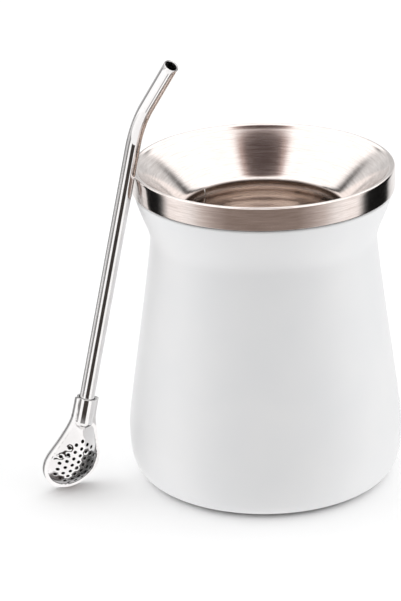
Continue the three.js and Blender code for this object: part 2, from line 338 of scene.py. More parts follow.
def length_of(tree, a, b):
    """Length of the slope over two sides."""
    squares = maths(tree, "ADD", maths(tree, "MULTIPLY", a, a), maths(tree, "MULTIPLY", b, b))
    return maths(tree, "SQRT", squares)


def split(tree, vector):
    return add(tree, "ShaderNodeSeparateXYZ", {"Vector": vector}).outputs


def ranged(tree, value, start, end, low=0.0, high=1.0):
    """Spreads start to end over low to high, and stays at those beyond."""
    node = add(tree, "ShaderNodeMapRange", {
        "Value": value, "From Min": start, "From Max": end, "To Min": low, "To Max": high})
    return node.outputs["Result"]


def blend(tree, share, first, second):
    """A colour that goes from the first to the second as the share rises."""
    return add(tree, "ShaderNodeMix", {"Factor": share, 6: first, 7: second}, data_type="RGBA").outputs[2]


def ramp(tree, value, stops):
    """A colour ramp with (place, grey or colour) stops."""
    node = add(tree, "ShaderNodeValToRGB", {"Fac": value})
    elements = node.color_ramp.elements
    while len(elements) < len(stops):
        elements.new(0.5)
    for element, (place, colour) in zip(elements, stops):
        element.position = place
        element.color = (*colour, 1) if isinstance(colour, tuple) else (colour, colour, colour, 1)
    return node.outputs["Color"]


def new_shape_tree(name, sockets):
    tree = bpy.data.node_groups.new(name, "GeometryNodeTree")
    tree.interface.new_socket("Geometry", in_out="OUTPUT", socket_type="NodeSocketGeometry")
    for label, kind in sockets:
        tree.interface.new_socket(label, in_out="INPUT", socket_type=f"NodeSocket{kind}")
    return tree, tree.nodes.new("NodeGroupInput").outputs


def finish_shape_tree(tree, geometry, material):
    smooth = add(tree, "GeometryNodeSetShadeSmooth", {"Geometry": geometry})
    realized = add(tree, "GeometryNodeRealizeInstances", {"Geometry": smooth.outputs[0]})
    dressed = add(tree, "GeometryNodeSetMaterial", {
        "Geometry": realized.outputs[0], "Material": material})
    tree.links.new(dressed.outputs[0], tree.nodes.new("NodeGroupOutput").inputs[0])
    return tree


def rings_tree():
    """Joins rings into a skin. Each point of the spine is a ring's centre, with its radius and side."""
    tree, given = new_shape_tree("rings_along_a_spine", [
        ("Spine", "Geometry"), ("Sides", "Int"), ("Finish", "Material")])

    def whole(operation, a, b):
        return add(tree, "FunctionNodeIntegerMath", {0: a, 1: b}, operation=operation).outputs[0]

    def of_ring(kind, field):
        return add(tree, "GeometryNodeSampleIndex", {
            "Geometry": given["Spine"], "Value": field, "Index": ring}, data_type=kind).outputs[0]

    def stored(kind, name):
        return add(tree, "GeometryNodeInputNamedAttribute", {"Name": name}, data_type=kind).outputs[0]

    count = add(tree, "GeometryNodeAttributeDomainSize", {"Geometry": given["Spine"]}, component="MESH")
    around = whole("ADD", given["Sides"], 1)
    grid = add(tree, "GeometryNodeMeshGrid", {
        "Size X": 1.0, "Size Y": 1.0, "Vertices X": count.outputs["Point Count"], "Vertices Y": around})
    index = tree.nodes.new("GeometryNodeInputIndex").outputs[0]
    ring = whole("DIVIDE_FLOOR", index, around)
    step = whole("MODULO", index, around)
    centre = of_ring("FLOAT_VECTOR", tree.nodes.new("GeometryNodeInputPosition").outputs[0])
    radius = of_ring("FLOAT", stored("FLOAT", "ring_radius"))
    side = of_ring("FLOAT_VECTOR", stored("FLOAT_VECTOR", "ring_side"))
    turn = maths(tree, "MULTIPLY", maths(tree, "DIVIDE", step, given["Sides"]), 2 * pi)
    along_x = add(tree, "ShaderNodeCombineXYZ", {
        "X": maths(tree, "MULTIPLY", radius, maths(tree, "COSINE", turn))}).outputs[0]
    along_side = scaled(tree, side, maths(tree, "MULTIPLY", radius, maths(tree, "SINE", turn)))
    place = vector_maths(tree, "ADD", centre, vector_maths(tree, "ADD", along_x, along_side))
    placed = add(tree, "GeometryNodeSetPosition", {"Geometry": grid.outputs["Mesh"], "Position": place})
    closed = add(tree, "GeometryNodeMergeByDistance", {
        "Geometry": placed.outputs[0], "Distance": RING_MERGE})
    return finish_shape_tree(tree, closed.outputs[0], given["Finish"])


def punched_tree():
    """Punches a round hole through a plate at each mark."""
    tree, given = new_shape_tree("punched_plate", [
        ("Marks", "Geometry"), ("Plate", "Object"), ("Hole Radius", "Float"),
        ("Hole Sides", "Int"), ("Punch Length", "Float"), ("Finish", "Material")])
    plate_shape = add(tree, "GeometryNodeObjectInfo", {"Object": given["Plate"]}).outputs["Geometry"]
    punch = add(tree, "GeometryNodeMeshCylinder", {
        "Vertices": given["Hole Sides"], "Radius": given["Hole Radius"],
        "Depth": given["Punch Length"]})
    punches = add(tree, "GeometryNodeInstanceOnPoints", {
        "Points": given["Marks"], "Instance": punch.outputs["Mesh"], "Rotation": (pi / 2, 0, 0)})
    solid = add(tree, "GeometryNodeRealizeInstances", {"Geometry": punches.outputs[0]})
    cut = add(tree, "GeometryNodeMeshBoolean", {"Mesh 1": plate_shape, "Mesh 2": solid.outputs[0]},
              operation="DIFFERENCE", solver="EXACT")
    return finish_shape_tree(tree, cut.outputs["Mesh"], given["Finish"])


# Meshes

def in_scene(name, data):
    """A new object with this data."""
    thing = bpy.data.objects.new(name, data)
    bpy.context.collection.objects.link(thing)
    return thing


def points_object(name, points):
    mesh = bpy.data.meshes.new(name)
    mesh.from_pydata([Vector(p) * MM for p in points], [], [])
    return in_scene(name, mesh)


def made_by(tree, source, name, **inputs):
    """Runs a shape tree on a source object and keeps the result as a plain mesh piece."""
    modifier = source.modifiers.new(tree.name, "NODES")
    modifier.node_group = tree
    for item in tree.interface.items_tree:
        key = item.name.replace(" ", "_").lower()
        if item.in_out == "INPUT" and key in inputs:
            modifier[item.identifier] = inputs[key]
    depsgraph = bpy.context.evaluated_depsgraph_get()
    mesh = bpy.data.meshes.new_from_object(source.evaluated_get(depsgraph))
    source.modifiers.clear()
    bpy.data.objects.remove(source)
    mesh.name = name
    return in_scene(name, mesh)


def face_out(shape):
    bmesh.ops.recalc_face_normals(shape, faces=shape.faces)
    if shape.calc_volume(signed=True) < 0:
        bmesh.ops.reverse_faces(shape, faces=shape.faces)


def close_and_face_out(piece):
    """Merges doubled points and turns every face outwards."""
    shape = bmesh.new()
    shape.from_mesh(piece.data)
    bmesh.ops.remove_doubles(shape, verts=shape.verts, dist=POINT_MERGE)
    bmesh.ops.dissolve_degenerate(shape, edges=shape.edges, dist=SLIVER)
    face_out(shape)
    shape.to_mesh(piece.data)
    shape.free()
    return piece


RINGS = rings_tree()
PUNCHED = punched_tree()


def skin_of_rings(name, rings, sides, finish):
    """A piece from rings given as (centre, radius, side) in millimetres."""
    spine = points_object(f"{name}_spine", [centre for centre, _, _ in rings])
    radii = spine.data.attributes.new("ring_radius", "FLOAT", "POINT")
    radii.data.foreach_set("value", [radius * MM for _, radius, _ in rings])
    side_vectors = spine.data.attributes.new("ring_side", "FLOAT_VECTOR", "POINT")
    side_vectors.data.foreach_set("vector", [c for _, _, side in rings for c in side])
    return close_and_face_out(made_by(RINGS, spine, name, sides=sides, finish=finish))


# Profiles: (radius, height) pairs

def smooth_step(start, end, value):
    t = min(max((value - start) / (end - start), 0), 1)
    return t * t * (3 - 2 * t)


def step_from(point, out=0.0, up=0.0):
    return point[0] + out, point[1] + up


def bezier(start, handle_a, handle_b, end, steps=CURVE_STEPS):
    """Points of a cubic curve, without its start."""
    made = []
    for i in range(1, steps + 1):
        t = i / steps
        weights = ((1 - t) ** 3, 3 * t * (1 - t) ** 2, 3 * t * t * (1 - t), t ** 3)
        made.append(tuple(
            sum(w * p[k] for w, p in zip(weights, (start, handle_a, handle_b, end))) for k in (0, 1)))
    return made


def quarter(start, corner, end, steps=EDGE_STEPS):
    """Points of a rounded corner, without its start."""
    made = []
    for i in range(1, steps + 1):
        t = i / steps
        made.append(tuple(
            (1 - t) ** 2 * start[k] + 2 * t * (1 - t) * corner[k] + t * t * end[k] for k in (0, 1)))
    return made


def straight(start, end, steps):
    """Points of a straight line, without its start."""
    return [tuple(start[k] + (end[k] - start[k]) * i / steps for k in (0, 1))
            for i in range(1, steps + 1)]


def funnel_line(lip):
    """The funnel from its lip to the rim, flaring a little more towards the top."""
    width, rise = FUNNEL_TOP[0] - lip[0], FUNNEL_TOP[1] - lip[1]
    points = []
    for i in range(1, FUNNEL_STEPS + 1):
        t = i / FUNNEL_STEPS
        points.append((lip[0] + width * t, lip[1] + rise * t + FUNNEL_FLARE * (t - t ** 3)))
    return points


def cavity_profile():
    """The inside of the liner, from the middle of its floor up to the inner edge of the rim."""
    middle = (0, CAVITY_FLOOR_HEIGHT)
    floor = (CAVITY_FLOOR_RADIUS, CAVITY_FLOOR_HEIGHT)
    corner = (CAVITY_RADIUS, CAVITY_FLOOR_HEIGHT)
    belly = (CAVITY_RADIUS, CAVITY_BELLY_HEIGHT)
    shoulder = (SHOULDER_RADIUS, SHOULDER_HEIGHT)
    throat = (THROAT_RADIUS, CUP_HEIGHT - THROAT_DEPTH)
    lip = step_from(throat, THROAT_LIP_WIDTH, THROAT_LIP_HEIGHT)
    points = [middle, *straight(middle, floor, CAVITY_FLOOR_STEPS)]
    points += bezier(floor, step_from(corner, out=-CAVITY_CORNER_IN),
                     step_from(corner, up=CAVITY_CORNER_UP), belly)
    points += bezier(belly, step_from(belly, up=CAVITY_HANDLE_UP),
                     step_from(shoulder, *SHOULDER_HANDLE_BELOW), shoulder)
    points += bezier(shoulder, step_from(shoulder, *SHOULDER_HANDLE_ABOVE),
                     step_from(throat, up=-THROAT_HANDLE_DOWN), throat, THROAT_STEPS)
    points += bezier(throat, step_from(throat, up=THROAT_HANDLE_UP), step_from(lip, *LIP_HANDLE), lip)
    return points + funnel_line(lip)


def with_spun_rings(points):
    """The cavity's line with the faint rings that spinning leaves in the throat."""
    ringed = []
    for radius, height in points:
        off_middle = (height - SPUN_RING_HEIGHT) / SPUN_RINGS_REACH
        strength = smooth_step(1, SPUN_RINGS_FULL_WITHIN, abs(off_middle))
        wave = sin(2 * pi * (height - SPUN_RING_HEIGHT) / SPUN_RING_PITCH)
        ringed.append((radius + SPUN_RING_DEPTH * strength * wave, height))
    return ringed


def moved_outwards(points, distance):
    """The same line moved away from the cavity."""
    moved = []
    for i, (x, y) in enumerate(points):
        before = points[max(i - 1, 0)]
        after = points[min(i + 1, len(points) - 1)]
        along = Vector((after[0] - before[0], after[1] - before[1])).normalized()
        moved.append((max(x + along.y * distance, 0), y - along.x * distance))
    moved[0] = (0, moved[0][1])
    return moved


def liner_profile():
    """The liner's back, the band and rim round the outside, and down the funnel to the cavity's floor."""
    inside = cavity_profile()
    back = moved_outwards(inside, LINER_WALL)[:-1]
    ring_underside = CUP_HEIGHT - LINER_WALL - RIM_ROUNDING
    band_inside = RIM_RADIUS - BAND_THICKNESS
    foot = CUP_HEIGHT - BAND_HEIGHT
    edge = BAND_EDGE_ROUNDING
    band = [(FUNNEL_TOP[0] + LINER_WALL, ring_underside), (band_inside, ring_underside)]
    band += [(band_inside, foot), (RIM_RADIUS - edge, foot)]
    band += quarter(band[-1], (RIM_RADIUS, foot), (RIM_RADIUS, foot + edge))
    band += straight(band[-1], (RIM_RADIUS, CUP_HEIGHT - RIM_ROUNDING), BAND_STEPS)
    band += quarter(
        band[-1], (RIM_RADIUS, CUP_HEIGHT), (RIM_RADIUS - RIM_ROUNDING, CUP_HEIGHT), RIM_STEPS)
    band += quarter(band[-1], (FUNNEL_TOP[0] + RIM_INNER_CORNER, CUP_HEIGHT), FUNNEL_TOP, RIM_STEPS)
    return back + band + with_spun_rings(inside)[::-1][1:]


def wall_profile():
    """The white wall from the middle of the base up to the band, and back down round the liner."""
    flare_end = CUP_HEIGHT - BAND_HEIGHT - FIT_GAP
    middle = (0, 0)
    base = (BASE_RADIUS, 0)
    corner = (BELLY_RADIUS, 0)
    belly = (BELLY_RADIUS, BELLY_HEIGHT)
    neck = (NECK_RADIUS, NECK_HEIGHT)
    lip = (RIM_RADIUS - WALL_UNDER_BAND, flare_end)
    points = [middle, *straight(middle, base, BASE_STEPS)]
    points += bezier(base, step_from(corner, out=-BASE_CORNER_IN), step_from(corner, up=BASE_CORNER_UP),
                     belly, BASE_CURVE_STEPS)
    points += bezier(belly, step_from(belly, up=BELLY_HANDLE_UP), step_from(neck, up=-NECK_HANDLE_DOWN),
                     neck, WALL_STEPS)
    points += bezier(neck, step_from(neck, up=NECK_HANDLE_UP),
                     step_from((RIM_RADIUS, flare_end), *FLARE_HANDLE), lip, FLARE_STEPS)
    tuck = RIM_RADIUS - BAND_THICKNESS - FIT_GAP
    tuck_top = CUP_HEIGHT - LINER_WALL - RIM_ROUNDING - FIT_GAP
    funnel_back = (FUNNEL_TOP[0] + LINER_WALL + FUNNEL_BACK_ROOM, tuck_top)
    lining_back = moved_outwards(cavity_profile(), LINER_WALL + FIT_GAP)[:-1]
    return points + [(tuck, flare_end), (tuck, tuck_top), funnel_back, *lining_back[::-1]]


def turned(name, profile, finish):
    rings = [((0, 0, height), radius, (0, 1, 0)) for radius, height in profile]
    return skin_of_rings(name, rings, CUP_SIDES, finish)


def weld_bead(finish):
    """The fine weld that runs down the inside of the liner."""
    wall = [(radius, height) for radius, height in cavity_profile() if WELD_BOTTOM < height < WELD_TOP]
    rings = [((0, *wall[0]), 0.0, (0, 1, 0))]
    for before, here, after in zip(wall, wall[1:], wall[2:]):
        along = Vector((0, after[0] - before[0], after[1] - before[1])).normalized()
        side = Vector((0, along.z, -along.y)) * WELD_FLATNESS
        rings.append(((0, here[0] + WELD_RADIUS * WELD_SUNK, here[1]), WELD_RADIUS, tuple(side)))
    rings.append(((0, *wall[-1]), 0.0, (0, 1, 0)))
    bead = skin_of_rings("liner_weld", rings, WELD_SIDES, finish)
    bead.data.transform(Matrix.Rotation(radians(WELD_SIDE_DEG), 4, "Z"))
    return bead


# Bombilla, first upright in its own frame: tube up +Z, front of the filter towards -Y

def tube_spine():
    """The tube's middle line: a function from a distance to its (point, side), and its whole length."""
    bend = radians(TUBE_BEND_DEG)
    bend_length = TUBE_BEND_RADIUS * bend

    def at(distance):
        turned_by = min(max((distance - TUBE_STRAIGHT) / TUBE_BEND_RADIUS, 0), bend)
        beyond = max(distance - TUBE_STRAIGHT - bend_length, 0)
        y = -TUBE_BEND_RADIUS * (1 - cos(turned_by)) - beyond * sin(turned_by)
        z = min(distance, TUBE_STRAIGHT) + TUBE_BEND_RADIUS * sin(turned_by) + beyond * cos(turned_by)
        return (0, y, z), (0, cos(turned_by), sin(turned_by))

    return at, TUBE_STRAIGHT + bend_length + MOUTHPIECE_LENGTH


def bombilla_tube(finish):
    """The bored tube: up its outside, round the mouthpiece's lip and down the bore."""
    at, total = tube_spine()
    stations = [total * i / TUBE_STEPS for i in range(TUBE_STEPS + 1)]
    lip = LIP_ROUNDING
    lip_turns = [pi / 2 * i / LIP_STEPS for i in range(LIP_STEPS + 1)]

    def ring(distance, radius):
        centre, side = at(distance)
        return centre, radius, side

    rings = [ring(0, TUBE_BORE_RADIUS), ring(0, TUBE_RADIUS)]
    rings += [ring(d, TUBE_RADIUS) for d in stations[1:-1]]
    for turn in lip_turns:
        rings.append(ring(total - lip + lip * sin(turn), TUBE_RADIUS - lip + lip * cos(turn)))
    for turn in lip_turns:
        rings.append(ring(total - lip + lip * cos(turn), TUBE_BORE_RADIUS + lip - lip * sin(turn)))
    rings += [ring(d, TUBE_BORE_RADIUS) for d in stations[-2::-1]]
    return skin_of_rings("bombilla_straw", rings, TUBE_SIDES, finish)


def half_width(u, inset=0.0):
    """Half the width of the filter's plan, drawn in by an inset, at a height above its tip."""
    taper = radians(SPOON_TAPER_DEG)
    taper_start = SPOON_RADIUS * (1 + sin(taper))
    radius = SPOON_RADIUS - inset
    if u <= taper_start:
        return sqrt(max(radius ** 2 - (u - SPOON_RADIUS) ** 2, 0))
    tapered = SPOON_RADIUS * cos(taper) - tan(taper) * (u - taper_start) - inset
    neck = SPOON_NECK_HALF_WIDTH - inset
    return (tapered + neck + sqrt((tapered - neck) ** 2 + SPOON_NECK_BLEND ** 2)) / 2


def hole_centres():
    """A honeycomb of columns up the spoon, inside the dome."""
    centres = []
    for column in range(-HOLE_COLUMNS_EACH_SIDE, HOLE_COLUMNS_EACH_SIDE + 1):
        v = column * HOLE_PITCH * sqrt(3) / 2
        u = HOLES_FROM + (HOLE_PITCH / 2 if column % 2 else 0)
        while u <= HOLES_TO:
            if abs(v) <= half_width(u, SPOON_FLANGE) - HOLE_MARGIN:
                centres.append((u, v))
            u += HOLE_PITCH
    return centres


def plate_height(u, v, dome_height, grow):
    """Height of a plate's face above the seam. Grow is 0 inside and the sheet's thickness outside."""
    dome_half = half_width(u, SPOON_FLANGE - grow)
    in_dome = max(1 - (v / dome_half) ** 2, 0) if dome_half > NARROWEST_DOME else 0
    if u < SPOON_RADIUS:
        towards_end = (SPOON_RADIUS - u) / (SPOON_RADIUS - SPOON_FLANGE + grow)
    else:
        towards_end = (u - SPOON_RADIUS) / (DOME_TOP + grow - SPOON_RADIUS)
    rise = max(1 - towards_end ** 2, 0) * in_dome
    dome = dome_height * rise ** DOME_FULLNESS + (grow if rise > 0 else 0)
    channel_radius = (TUBE_RADIUS + FIT_GAP) * smooth_step(CHANNEL_START, CHANNEL_FULL, u) + grow
    channel = sqrt(max(channel_radius ** 2 - v ** 2, 0))
    return max(dome, channel, FIT_GAP / 2 + grow)


def dimple(u, v, holes):
    """How far the sheet is drawn in round the nearest punched hole."""
    if not holes:
        return 0.0
    near = min((u - a) ** 2 + (v - b) ** 2 for a, b in holes)
    return DIMPLE_DEPTH * DIMPLE_FALL_OFF ** (-near / DIMPLE_RADIUS ** 2)


def plate_rows():
    """Heights above the tip, closer together where the plan is round."""
    rows = [SPOON_RADIUS * (1 - cos(pi / 2 * i / PLATE_TIP_ROWS)) for i in range(1, PLATE_TIP_ROWS)]
    body = SPOON_LENGTH - SPOON_RADIUS
    rows += [SPOON_RADIUS + body * i / PLATE_BODY_ROWS for i in range(PLATE_BODY_ROWS + 1)]
    return [FIRST_ROW, *rows]


def plate_columns():
    """Places across the plan from -1 to 1, closer together towards its edges."""
    return [sin((2 * j / PLATE_COLUMNS - 1) * COLUMN_SPREAD) / sin(COLUMN_SPREAD)
            for j in range(PLATE_COLUMNS + 1)]


def plate_face(shape, mark, dome_height, side, holes, grow):
    """A grid of points for one face of a plate, with a mark on those closed in between the plates, which
    get painted shade.
    """
    rows = plate_rows()
    columns = plate_columns()
    grid = []
    for u in rows:
        line = []
        for place in columns:
            v = place * half_width(u)
            w = plate_height(u, v, dome_height, grow) - dimple(u, v, holes)
            vertex = shape.verts.new(Vector((v, -side * w, u)) * MM)
            closed_in = rows[INSIDE_AFTER_ROW] < u < SPOON_LENGTH - INSIDE_BELOW_END
            # Painted shade: marked points are coloured near black by the polished steel
            vertex[mark] = 1.0 if closed_in and abs(place) < INSIDE_WIDTH and not grow else 0.0
            line.append(vertex)
        grid.append(line)
    return grid


def plate(name, dome_height, side, holes):
    """A closed sheet over the plan, bulging to the front for side 1 and to the back for side -1."""
    shape = bmesh.new()
    # The mark picks the faces that get painted shade
    mark = shape.verts.layers.float.new("inside_filter")
    inner = plate_face(shape, mark, dome_height, side, holes, 0.0)
    outer = plate_face(shape, mark, dome_height, side, holes, SHEET_THICKNESS)
    for grid in (inner, outer):
        for low, high in zip(grid, grid[1:]):
            for j in range(PLATE_COLUMNS):
                shape.faces.new((low[j], low[j + 1], high[j + 1], high[j]))
    inner_edges = [row[0] for row in inner], [row[-1] for row in inner], inner[0], inner[-1]
    outer_edges = [row[0] for row in outer], [row[-1] for row in outer], outer[0], outer[-1]
    for near, far in zip(inner_edges, outer_edges):
        for corners in zip(near, near[1:], far[1:], far):
            shape.faces.new(corners)
    face_out(shape)
    mesh = bpy.data.meshes.new(name)
    shape.to_mesh(mesh)
    shape.free()
    return in_scene(name, mesh)


def bend_spoon(piece):
    """Curves the flat spoon backwards below its neck, and puts its origin at the tube's lower end."""
    bend_radius = SPOON_BEND_LENGTH / radians(SPOON_BEND_DEG)
    for vertex in piece.data.vertices:
        back = vertex.co.y / MM
        below = TUBE_END_IN_SPOON - vertex.co.z / MM
        curved = min(max(below, 0), SPOON_BEND_LENGTH)
        beyond = max(below - curved, 0)
        above = max(-below, 0)
        angle = curved / bend_radius
        y = bend_radius * (1 - cos(angle)) + beyond * sin(angle) + back * cos(angle)
        z = above - bend_radius * sin(angle) - beyond * cos(angle) + back * sin(angle)
        vertex.co.y = y * MM
        vertex.co.z = z * MM
    return piece


def filter_front(finish):
    holes = hole_centres()
    sheet = plate("filter_sheet", FRONT_DOME_HEIGHT, 1, holes)
    marks = points_object("hole_marks", [(v, PUNCH_BEHIND_SEAM - PUNCH_LENGTH / 2, u) for u, v in holes])
    punched = made_by(
        PUNCHED, marks, "filter_spoon_front", plate=sheet, hole_radius=HOLE_DIAMETER / 2 * MM,
        hole_sides=HOLE_SIDES, punch_length=PUNCH_LENGTH * MM, finish=finish)
    bpy.data.objects.remove(sheet)
    punched.data.set_sharp_from_angle(angle=radians(SHARP_EDGE_DEG))
    return bend_spoon(punched)


def filter_back(finish):
    back = plate("filter_spoon_back", BACK_DOME_HEIGHT, -1, [])
    back.data.materials.append(finish)
    back.data.shade_smooth()
    back.data.set_sharp_from_angle(angle=radians(SHARP_EDGE_DEG))
    return bend_spoon(back)


def lean_direction():
    """The way that the leaning tube points, towards its mouthpiece."""
    lean, side = radians(LEAN_DEG), radians(LEAN_SIDE_DEG)
    return Vector((-cos(side) * sin(lean), -sin(side) * sin(lean), cos(lean)))


def front_direction():
    """The way that the front of the filter looks, and that the mouthpiece bends to."""
    facing, tube_up = radians(FACING_DEG), lean_direction()
    front = Vector((sin(facing), -cos(facing), 0))
    return (front - tube_up * front.dot(tube_up)).normalized()


def lean_on_rim(pieces):
    """Leans the bombilla's pieces on the rim, with the filter's tip on the floor."""
    lean, side = radians(LEAN_DEG), radians(LEAN_SIDE_DEG)
    outward = Vector((cos(side), sin(side), 0))
    tube_up = lean_direction()
    front = front_direction()
    across = tube_up.cross(front)
    turn = Matrix((across, -front, tube_up)).transposed().to_4x4()
    for piece in pieces:
        piece.data.transform(turn)
    lowest = min(v.co.z for piece in pieces for v in piece.data.vertices) / MM
    touch_height = CUP_HEIGHT - RIM_ROUNDING
    clearance = RIM_ROUNDING + FIT_GAP + TUBE_RADIUS
    touch = outward * (RIM_RADIUS - RIM_ROUNDING + clearance / cos(lean))
    touch.z = touch_height
    shift = touch - tube_up * ((touch_height + lowest) / cos(lean))
    for piece in pieces:
        piece.data.transform(Matrix.Translation(shift * MM))


# Finishes

def new_material(name):
    material = bpy.data.materials.new(name)
    material.use_nodes = True
    tree = material.node_tree
    return material, tree, tree.nodes["Principled BSDF"]


def object_place(tree):
    return tree.nodes.new("ShaderNodeTexCoord").outputs["Object"]


def noise(tree, vector, scale, detail, roughness):
    return add(tree, "ShaderNodeTexNoise", {
        "Vector": vector, "Scale": scale, "Detail": detail, "Roughness": roughness}).outputs["Fac"]


def between(tree, value, limits):
    """Spreads a 0 to 1 value over a range."""
    return ranged(tree, value, 0.0, 1.0, *limits)


def relief(tree, height, strength, depth):
    """The normal of a fine relief, with its depth in millimetres."""
    return add(tree, "ShaderNodeBump", {
        "Height": height, "Strength": strength, "Distance": depth * MM}).outputs[0]


def round_the_axis(tree, turns, fineness):
    """A place that changes slowly round the cup's axis and quickly up it, for brushed lines."""
    x, y, z = split(tree, object_place(tree))
    radius = length_of(tree, x, y)
    safe = maths(tree, "MAXIMUM", radius, AXIS_CLEARANCE * MM)
    height = maths(tree, "MULTIPLY", maths(tree, "ADD", z, radius), fineness)
    return add(tree, "ShaderNodeCombineXYZ", {
        "X": maths(tree, "MULTIPLY", maths(tree, "DIVIDE", x, safe), turns),
        "Y": maths(tree, "MULTIPLY", maths(tree, "DIVIDE", y, safe), turns),
        "Z": height}).outputs[0]


def brushed_steel():
    """Steel with fine lines brushed round the axis, and in the throat painted reflections and painted
    shade as brighter and darker bands.
    """
    material, tree, shader = new_material("brushed_steel")
    fine = noise(tree, round_the_axis(tree, *FINE_LINES), scale=1.0, detail=4.0, roughness=0.65)
    broad = noise(tree, round_the_axis(tree, *BROAD_LINES), scale=1.0, detail=2.0, roughness=0.5)
    lines = maths(tree, "ADD", maths(tree, "MULTIPLY", fine, FINE_SHARE),
                  maths(tree, "MULTIPLY", broad, BROAD_SHARE))
    height = split(tree, object_place(tree))["Z"]
    in_funnel = ranged(tree, height, FUNNEL_FINISH_FROM * MM, FUNNEL_FINISH_FULL * MM)
    up_throat = ranged(tree, height, PAINTED_THROAT_RINGS_FROM * MM, PAINTED_THROAT_RINGS_TO * MM)
    # Painted reflections and painted shade: rings of colour by height in the throat
    painted_throat_reflections_and_shade = ramp(tree, up_throat, PAINTED_THROAT_REFLECTIONS_AND_SHADE)
    funnel_colour = ramp(tree, lines, LINE_TONES)
    funnel_roughness = between(tree, lines, FUNNEL_ROUGHNESS)
    roughness = add(tree, "ShaderNodeMix", {
        "Factor": in_funnel, "A": THROAT_ROUGHNESS, "B": funnel_roughness}).outputs[0]
    fill(tree, shader, {
        "Base Color": blend(tree, in_funnel, painted_throat_reflections_and_shade, funnel_colour),
        "Roughness": roughness,
        "Normal": relief(tree, lines, strength=0.25, depth=LINE_DEPTH),
        "Tangent": add(tree, "ShaderNodeTangent", direction_type="RADIAL", axis="Z").outputs[0],
        "Metallic": 1.0,
        "Anisotropic": 0.88,
        "Anisotropic Rotation": 0.25})
    return material


def weld_steel():
    """The bright, faintly rippled metal of a fine weld."""
    material, tree, shader = new_material("weld_steel")
    ripples = noise(tree, object_place(tree), scale=1500.0, detail=2.0, roughness=0.5)
    fill(tree, shader, {
        "Base Color": ramp(tree, ripples, WELD_TONES),
        "Roughness": between(tree, ripples, WELD_ROUGHNESS),
        "Normal": relief(tree, ripples, strength=0.3, depth=WELD_RIPPLE_DEPTH),
        "Metallic": 1.0})
    return material


def polished_steel():
    """Bright steel with hairlines along its length and a faint haze from handling, and painted shade,
    near black, on the faces closed in inside the filter.
    """
    material, tree, shader = new_material("polished_steel")
    place = object_place(tree)
    long_way = add(tree, "ShaderNodeMapping", {"Vector": place, "Scale": HAIRLINE_STRETCH}).outputs[0]
    hairlines = noise(tree, long_way, scale=2600.0, detail=3.0, roughness=0.65)
    haze = noise(tree, place, scale=160.0, detail=3.0, roughness=0.55)
    # Painted shade: the marked faces inside the filter are coloured near black
    inside = add(tree, "ShaderNodeAttribute", attribute_name="inside_filter").outputs["Fac"]
    colour = blend(tree, inside, ramp(tree, haze, HAZE_TONES), PAINTED_SHADE_IN_FILTER)
    normal = relief(tree, hairlines, strength=0.06, depth=HAIRLINE_DEPTH)
    fill(tree, shader, {"Base Color": colour, "Normal": normal, "Metallic": 1.0, "Roughness": 0.0})
    worn = add(tree, "ShaderNodeBsdfPrincipled", {
        "Base Color": colour, "Normal": normal, "Metallic": 1.0,
        "Roughness": between(tree, hairlines, WORN_ROUGHNESS)})
    share = maths(tree, "MAXIMUM", between(tree, haze, HAZE_SHARE), inside)
    surface = add(tree, "ShaderNodeMixShader", {0: share, 1: shader.outputs[0], 2: worn.outputs[0]})
    tree.links.new(surface.outputs[0], tree.nodes["Material Output"].inputs["Surface"])
    return material


def white_coating():
    """Satin white powder coat: the fine swells of the cured powder, and a finer grain over them."""
    material, tree, shader = new_material("white_coating")
    place = object_place(tree)
    swells = noise(tree, place, scale=1100.0, detail=2.0, roughness=0.5)
    grain = noise(tree, place, scale=3600.0, detail=2.0, roughness=0.6)
    drift = noise(tree, place, scale=45.0, detail=2.0, roughness=0.5)
    height = maths(tree, "ADD", swells, maths(tree, "MULTIPLY", grain, GRAIN_SHARE))
    fill(tree, shader, {
        "Base Color": ramp(tree, drift, COAT_TONES),
        "Roughness": between(tree, grain, COAT_ROUGHNESS),
        "Normal": relief(tree, height, strength=0.35, depth=COAT_GRAIN_DEPTH),
        "Specular IOR Level": 0.45})
    return material


# Pieces

white = white_coating()
brushed = brushed_steel()
polished = polished_steel()

cup_wall = turned("cup_wall", wall_profile(), white)
cup_liner = turned("cup_liner", liner_profile(), brushed)
liner_weld = weld_bead(weld_steel())
straw = bombilla_tube(polished)
spoon_front = filter_front(polished)
spoon_back = filter_back(polished)
lean_on_rim([straw, spoon_front, spoon_back])

for piece, node, slot in (
    (cup_wall, "cup_shell", "white_coating"),
    (cup_liner, "steel_liner", "brushed_steel"),
    (liner_weld, "steel_liner", "brushed_steel"),
    (straw, "bombilla_tube", "polished_steel"),
    (spoon_front, "filter_front", "polished_steel"),
    (spoon_back, "filter_back", "polished_steel"),
):
    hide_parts(node)
    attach(piece, "root")


# Studio

def floor_disc(name, radius, height, finish):
    """A flat round piece of floor that the steel doesn't mirror."""
    bpy.ops.mesh.primitive_circle_add(
        vertices=FLOOR_SIDES, radius=radius * MM, fill_type="NGON", location=(0, 0, height * MM))
    disc = bpy.context.object
    disc.name = name
    disc.data.materials.append(finish)
    disc.visible_glossy = False
    return disc


def pale_floor():
    """The floor, and under the cup the shade that keeps the floor's glow off its base."""
    material, tree, shader = new_material("pale_floor")
    fill(tree, shader, {"Base Color": FLOOR_WHITE, "Roughness": 0.8, "Specular IOR Level": 0.1})
    floor = floor_disc("floor", FLOOR_RADIUS, 0.0, material)
    floor.visible_diffuse = False
    shade = floor_disc("shaded_floor_under_the_cup", SHADE_RADIUS, -SHADE_DROP, material)


def whole_turn(tree, right, front):
    """Where a direction lies round an axis: 0.5 in front, 0.75 on the right, and 0 or 1 behind."""
    return maths(tree, "MULTIPLY_ADD", maths(tree, "ARCTAN2", right, front), 0.5 / pi, 0.5)


